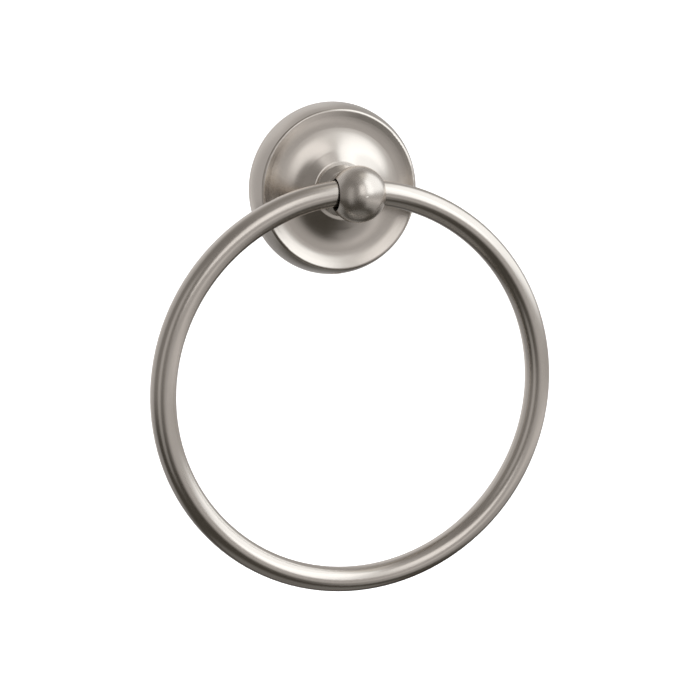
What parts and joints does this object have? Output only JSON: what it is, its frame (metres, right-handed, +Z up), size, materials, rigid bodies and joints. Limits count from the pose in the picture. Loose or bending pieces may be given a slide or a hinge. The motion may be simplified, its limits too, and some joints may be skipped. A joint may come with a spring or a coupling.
{
  "type": "towel ring",
  "caption": "Wall-mounted towel ring: a round bar ring swings in the split ball of a short turned post on a dished round rosette.",
  "frame": {"origin": "on the wall plane, on the post's axis, midway between the two wall-screw holes", "axes": "+X to the right as seen from the room, +Y into the wall, +Z up"},
  "size_m": [0.1588, 0.0427, 0.1867],
  "materials": {
    "satin_nickel": "satin nickel plate over die-cast zinc, and over steel on the ring",
    "plated_steel": "bright zinc-plated steel"
  },
  "bodies": {
    "fitting": {"rosette": "satin_nickel", "post": "satin_nickel", "ball_cap": "satin_nickel", "cap_pins": "plated_steel", "post_screw": "plated_steel", "spring_washer": "plated_steel", "wall_bracket": "plated_steel", "set_screw": "plated_steel"},
    "ring": {"ring": "satin_nickel"}
  },
  "joints": [
    {"name": "ring_swing", "type": "hinge", "parent": "fitting", "child": "ring", "pos_m": [0, -0.032, 0.0009], "axis": [-1, 0, 0], "range_deg": [-10, 90]}
  ]
}
